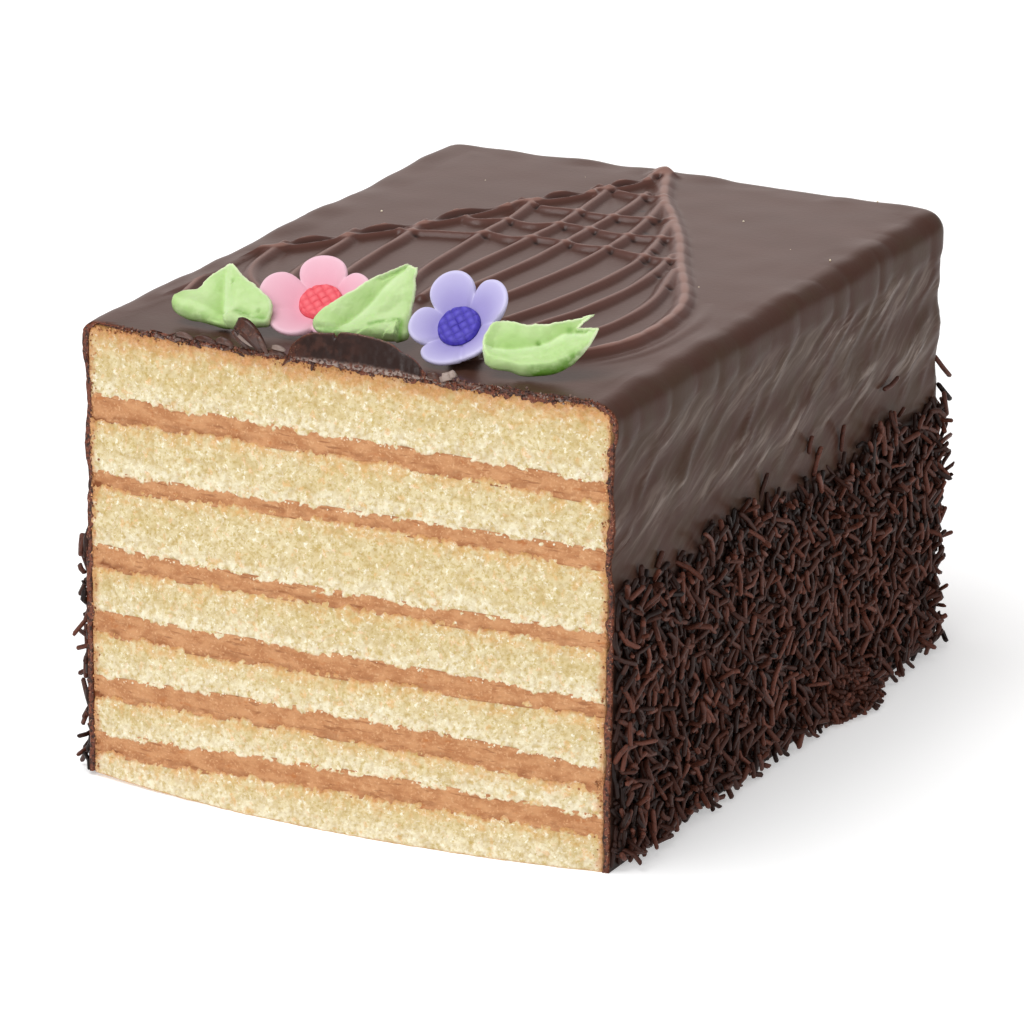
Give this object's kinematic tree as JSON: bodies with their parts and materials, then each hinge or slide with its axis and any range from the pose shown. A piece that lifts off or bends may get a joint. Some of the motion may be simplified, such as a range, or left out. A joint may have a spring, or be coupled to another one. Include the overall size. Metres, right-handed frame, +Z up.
{
  "type": "seven layer cake",
  "caption": "Cut loaf of layer cake: pale sponge and tan filling under a dark glaze, sprinkled sides, piped net on top, sugar flowers and piped leaves beside the cut face.",
  "frame": {"origin": "on the table under the middle of the cake", "axes": "+Z up, -Y out of the cut face, +X to the right as the cut face is seen"},
  "size_m": [0.1276, 0.1705, 0.1143],
  "materials": {
    "sponge": "matte open pale yellow sponge crumb",
    "filling": "smooth tan cream, slightly moist",
    "glaze": "dark brown satin glaze",
    "pink_sugar": "matte pale pink sugar paste",
    "red_sugar": "matte red pink sugar paste with a woven relief",
    "lilac_sugar": "matte lilac sugar paste",
    "blue_sugar": "matte violet blue sugar paste with a woven relief",
    "leaf_icing": "soft pale green butter icing"
  },
  "bodies": {
    "root": {"sponge_1": "sponge", "sponge_2": "sponge", "sponge_3": "sponge", "sponge_4": "sponge", "sponge_5": "sponge", "sponge_6": "sponge", "sponge_7": "sponge", "filling_1": "filling", "filling_2": "filling", "filling_3": "filling", "filling_4": "filling", "filling_5": "filling", "filling_6": "filling", "glaze": "glaze", "flower_pink": "pink_sugar", "flower_pink_centre": "red_sugar", "flower_purple": "lilac_sugar", "flower_purple_centre": "blue_sugar", "leaf_1": "leaf_icing", "leaf_2": "leaf_icing", "leaf_3": "leaf_icing"}
  },
  "joints": []
}
